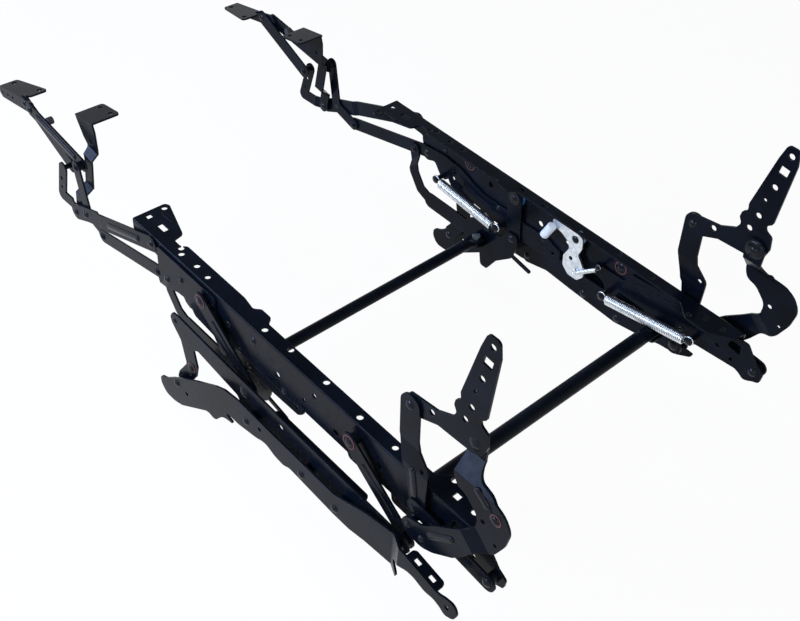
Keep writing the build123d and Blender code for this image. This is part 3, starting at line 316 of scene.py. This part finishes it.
def springPath(first, last, look):
    # one wire: hook round the first post, a lead in, close turns, a lead out and the second hook
    along = (last - first).normalized()
    side = acrossAxis.cross(along)
    wire = look["wire"] * mm
    hookRadius = look["post"] * mm + wire
    coilRadius = look["coil"] * mm - wire
    inset = look["inset"] * mm
    start = hookRadius + look["lead"] * mm
    length = (last - first).length - 2 * start
    turns = round(length / (look["pitch"] * mm))
    hookTurn = math.radians(look["hookTurn"])
    points = []
    for k in range(look["hookSteps"]):
        angle = hookTurn * (1 - k / look["hookSteps"])
        points.append(first - along * math.sin(angle) * hookRadius - side * math.cos(angle) * hookRadius)
    axisStart = first - side * (hookRadius - inset)
    for k in range(turns * look["steps"] + 1):
        turn = k / look["steps"]
        # the first and last turns grow from the hook's wire out to the full coil
        grown = min(min(turn, turns - turn) / look["easeTurns"], 1)
        eased = grown * grown * (3 - 2 * grown)
        radius = inset + (coilRadius - inset) * eased
        angle = 2 * math.pi * turn
        radial = -side * math.cos(angle) + acrossAxis * math.sin(angle)
        points.append(axisStart + along * (start + length * turn / turns) + radial * radius)
    for k in range(1, look["hookSteps"] + 1):
        angle = hookTurn * k / look["hookSteps"]
        points.append(last + along * math.sin(angle) * hookRadius - side * math.cos(angle) * hookRadius)
    return points


def placeSpring(name, posts, look, sign, node):
    x = sign * look["x"] * mm
    mesh = wireMesh(name, springPath(spot(posts[0], x), spot(posts[1], x), look), look)
    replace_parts(placePiece(name, mesh, zincWire, "seat_carriage"), node)


# Extension springs between two posts; sizes are radii in mm, and the hook's turn is in degrees
springLook = {
    "wire": 1.4, "coil": 8.2, "post": 4.3, "inset": 3.7, "lead": 2.4, "pitch": 2.95,
    "hookTurn": 270, "hookSteps": 18, "steps": 16, "easeTurns": 0.8, "around": 8, "x": 225,
}
springPosts = {
    "front": ((0.085, -0.072), (0.221, -0.084)),
    "rear": ((0.434, -0.072), (0.584, -0.046)),
}
for where, posts in springPosts.items():
    for side, sign in sides.items():
        placeSpring(f"{where}_spring_{side}", posts, springLook, sign, f"{where}_springs")
print("extension springs wound")

# The latch's thin return spring, on the right side only
latchSpringLook = dict(springLook, wire=0.9, coil=3.6, post=2.8, inset=0.6, lead=1.6, pitch=1.95, x=232.3)
latchSpringPosts = ((0.372, -0.072), (0.412, -0.037))
placeSpring("latch_return_spring", latchSpringPosts, latchSpringLook, sides["right"], "latch_spring")
print("latch spring wound")


def turnedMesh(name, profile, centre, outward, around=48):
    # a piece turned about an axis along X; the profile is (radius, height) in mm, from the inside out
    shape = bmesh.new()
    rings = []
    for radius, height in profile:
        ring = []
        for k in range(around):
            angle = 2 * math.pi * k / around
            ring.append(shape.verts.new(centre + Vector((
                outward * height, radius * math.cos(angle), radius * math.sin(angle))) * mm))
        rings.append(ring)
    stitch(shape, rings + rings[:1])
    mesh = smoothMesh(shape, name)
    mesh.set_sharp_from_angle(angle=math.radians(35))
    return mesh


def placeRing(name, look, centre, outward, material, body):
    # a flat washer whose outer rim is broken by a small lip
    inner, outer, height, lip = look["inner"], look["outer"], look["height"], look["lip"]
    corner = 0.3 * lip
    profile = [(inner, 0.0), (inner, height), (outer - lip, height), (outer - corner, height - corner),
               (outer, height - lip), (outer, 0.0)]
    placePiece(name, turnedMesh(name, profile, centre, outward), material, body)


def placeDome(name, look, centre, outward, body):
    # a pressed dome, round a core too thin to show
    core = 0.2
    steps = 8
    rise = [math.pi / 2 * k / steps for k in range(steps)]
    profile = [(core, 0.0)]
    profile += [(look["radius"] * math.cos(angle), look["height"] * math.sin(angle)) for angle in rise]
    profile += [(core, look["height"])]
    placePiece(name, turnedMesh(name, profile, centre, outward), blackenedRivet, body)


# Red fibre rings that show round the heads of the swing pivots
swingWasherLook = {"inner": 8.6, "outer": 10.6, "height": 0.9, "lip": 0.4}
swingTops = {"front": (0.133, -0.024), "rear": (0.440, -0.0265)}
for where, share in swingTops.items():
    for side, sign in sides.items():
        for tag, x, outward in (("outer", outerFace(3), 1), ("inner", innerFace(0), -1)):
            placeRing(f"{where}_swing_washer_{tag}_{side}", swingWasherLook, spot(share, sign * x),
                      sign * outward, redFibre, "seat_carriage")
print("swing washers set")

# A blue nylon ring between the lift link and the rail, and a paler one behind the latch's pivot
liftRingLook = {"inner": 7.2, "outer": 15.2, "height": 1.4, "lip": 0.4}
liftTop = (0.236, -0.024)
for side, sign in sides.items():
    placeRing(f"lift_pivot_ring_{side}", liftRingLook, spot(liftTop, sign * innerFace(0)), -sign,
              blueNylon, "seat_carriage")
latchRingLook = {"inner": 7.2, "outer": 11.2, "height": 1.4, "lip": 0.4}
latchPivot = (0.361, -0.021)
placeRing("latch_pivot_ring", latchRingLook, spot(latchPivot, -innerFace(0)), 1,
          paleBlueNylon, "seat_carriage")
print("nylon pivot rings set")

# Pressed studs: a dome on a fibre ring
studLook = {"radius": 6.4, "height": 4.2}
studRingLook = {"inner": 6.0, "outer": 8.2, "height": 0.8, "lip": 0.3}
studs = {
    "upright_stud": ((0.672, 0.069), outerFace(4), "seat_carriage"),
    "base_leg_stud": ((0.115, -0.160), outerFace(6), "base"),
}
for stud, (share, x, body) in studs.items():
    for side, sign in sides.items():
        centre = spot(share, sign * x)
        placeRing(f"{stud}_ring_{side}", studRingLook, centre, sign, redFibre, body)
        placeDome(f"{stud}_{side}", studLook, centre, sign, body)
print("studs set")


def beadMesh(name, first, last, outward, look):
    # a pressed bead: a round-ended ridge along a line on a plate's face, with its foot set into the plate
    endSteps = 12
    riseSteps = 9
    along = (last - first).normalized()
    across = along.cross(acrossAxis)
    profile = [(look["radius"], -look["foot"])]
    for k in range(riseSteps):
        rise = math.pi / 2 * k / riseSteps
        profile.append((look["radius"] * math.cos(rise), look["height"] * math.sin(rise)))
    shape = bmesh.new()
    rings = []
    for radius, height in profile:
        ring = []
        for end, start in ((last, 0.0), (first, math.pi)):
            for k in range(endSteps + 1):
                angle = start - math.pi / 2 + math.pi * k / endSteps
                reach = (along * math.cos(angle) + across * math.sin(angle)) * radius
                ring.append(shape.verts.new(end + (reach + acrossAxis * outward * height) * mm))
        rings.append(ring)
    stitch(shape, rings)
    shape.faces.new(rings[0])
    shape.faces.new(rings[-1])
    return smoothMesh(shape, name)


# Glossy pressed beads over the plates' ribs: both ends, face and body
beadLook = {"radius": 5.2, "height": 2.6, "foot": 0.6}
beads = {
    "control_bead": ((0.543, 0.018), (0.550, -0.018), outerFace(2), "back_control_links"),
    "upright_neck_bead": ((0.643, 0.0885), (0.657, 0.0785), outerFace(4), "seat_carriage"),
    "upright_foot_bead": ((0.594, -0.037), (0.624, -0.012), outerFace(6), "seat_carriage"),
    "outer_arm_bead": ((-0.226, -0.0074), (-0.331, 0.0048), outerFace(-4), "footrest_outer_arms"),
    "drive_link_bead": ((-0.030, -0.0267), (-0.110, -0.0573), outerFace(1), "footrest_drive_links"),
}
for bead, (first, last, x, body) in beads.items():
    for side, sign in sides.items():
        name = f"{bead}_{side}"
        mesh = beadMesh(name, spot(first, sign * x), spot(last, sign * x), sign, beadLook)
        placePiece(name, mesh, blackenedRivet, body)
print("pressed beads set")

# The big domed cap over the backrest pivot's inner end, with the smaller dome on it
capLook = {"cap": {"radius": 13.6, "height": 3.6}, "cap_top": {"radius": 7.4, "height": 5.8}}
backPivot = (0.618, 0.130)
for side, sign in sides.items():
    for tag, look in capLook.items():
        centre = spot(backPivot, sign * innerFace(-1))
        placeDome(f"back_pivot_{tag}_{side}", look, centre, -sign, "seat_carriage")
print("backrest pivot caps set")


def brightRays(tree):
    # 1 for the rays that look at the white surround, and 0 for the light that it would give to the part
    rays = addNode(tree, "ShaderNodeLightPath")
    seen = rays.outputs["Is Camera Ray"]
    for kind in ("Is Glossy Ray", "Is Transmission Ray"):
        either = addNode(tree, "ShaderNodeMath", {0: seen, 1: rays.outputs[kind]}, operation="MAXIMUM")
        seen = either.outputs[0]
    return seen


# White paper floor: mostly its own white to the eye, and the rest keeps the part's shadow
floorLook = {"colour": "#ffffff", "size": 14.0, "glow": 0.95, "gap": 0.5}
material, tree = newMaterial("paperSweep")
amount = addNode(tree, "ShaderNodeMath", {0: brightRays(tree), 1: floorLook["glow"]}, operation="MULTIPLY")
paper = addNode(tree, "ShaderNodeBsdfDiffuse", {"Color": linear(floorLook["colour"])})
white = addNode(tree, "ShaderNodeEmission", {"Color": linear(floorLook["colour"]), "Strength": 1.0})
both = addNode(tree, "ShaderNodeMixShader", {0: amount.outputs[0], 1: paper.outputs[0], 2: white.outputs[0]})
finishMaterial(tree, both)
half = floorLook["size"] / 2
floorMesh = bpy.data.meshes.new("floor")
corners = [(-half, -half, 0), (half, -half, 0), (half, half, 0), (-half, half, 0)]
floorMesh.from_pydata(corners, [], [(0, 1, 2, 3)])
floorMesh.materials.append(material)
floor = bpy.data.objects.new("floor", floorMesh)
floor.location.z = cadBox[0][2] - floorLook["gap"] * mm
bpy.context.scene.collection.objects.link(floor)

# Sky: white at the horizon, greyer overhead
worldLook = {
    "ambient": 0.3, "horizon": "#ffffff", "zenith": "#5a6474", "horizonTop": 0.3, "zenithFrom": 0.75,
}
world = bpy.data.worlds.new("studio")
bpy.context.scene.world = world
world.use_nodes = True
tree = world.node_tree
tree.nodes.clear()
direction = addNode(tree, "ShaderNodeTexCoord").outputs["Generated"]
height = addNode(tree, "ShaderNodeSeparateXYZ", {"Vector": direction}).outputs["Z"]
sky = addNode(tree, "ShaderNodeValToRGB", {"Fac": height},
              ramp=[(worldLook["horizonTop"], worldLook["horizon"]),
                    (worldLook["zenithFrom"], worldLook["zenith"])])
strength = addNode(tree, "ShaderNodeMapRange",
                   {"Value": brightRays(tree), "From Min": 0.0, "From Max": 1.0,
                    "To Min": worldLook["ambient"], "To Max": 1.0})
background = addNode(tree, "ShaderNodeBackground",
                     {"Color": sky.outputs["Color"], "Strength": strength.outputs["Result"]})
output = addNode(tree, "ShaderNodeOutputWorld")
tree.links.new(background.outputs[0], output.inputs["Surface"])

lampLook = {
    # each: place, what it points at, width and height in metres, watts, colour
    "softboxAbove": ((0.3, 0.2, 2.3), (0.0, 0.0, 0.1), (1.2, 1.2), 22, "#e4edff"),
    "softboxBack": ((1.6, 2.0, 1.4), (0.1, 0.2, 0.2), (0.9, 0.9), 16, "#fff6e8"),
    "stripSide": ((1.75, -0.95, 1.05), (0.1, 0.1, 0.2), (1.8, 0.5), 70, "#b4ccff"),
}
for name, (place, target, size, watts, colour) in lampLook.items():
    lamp = bpy.data.lights.new(name, "AREA")
    lamp.shape = "RECTANGLE"
    lamp.size, lamp.size_y = size
    lamp.energy = watts
    lamp.color = linear(colour)[:3]
    holder = bpy.data.objects.new(name, lamp)
    holder.location = place
    holder.rotation_euler = (Vector(target) - Vector(place)).to_track_quat("-Z", "Y").to_euler()
    bpy.context.scene.collection.objects.link(holder)

cameraLook = {
    # worked out from the mirrored pairs of pivots and holes in the photograph
    "place": (0.8347, 0.955, 1.213), "forward": (-0.51828, -0.50725, -0.68854),
    "right": (-0.74060, 0.66881, 0.06476), "lens": 50.08, "sensor": 36.0,
}
forward = Vector(cameraLook["forward"]).normalized()
right = Vector(cameraLook["right"]).normalized()
up = right.cross(forward).normalized()
lens = bpy.data.cameras.new("camera")
lens.lens = cameraLook["lens"]
lens.sensor_width = cameraLook["sensor"]
lens.sensor_fit = "HORIZONTAL"
camera = bpy.data.objects.new("camera", lens)
turn = Matrix((right, up, -forward)).transposed()
camera.matrix_world = Matrix.Translation(cameraLook["place"]) @ turn.to_4x4()
bpy.context.scene.collection.objects.link(camera)
bpy.context.scene.camera = camera
bpy.context.scene.view_settings.view_transform = "Standard"
print("floor, lamps and camera set")
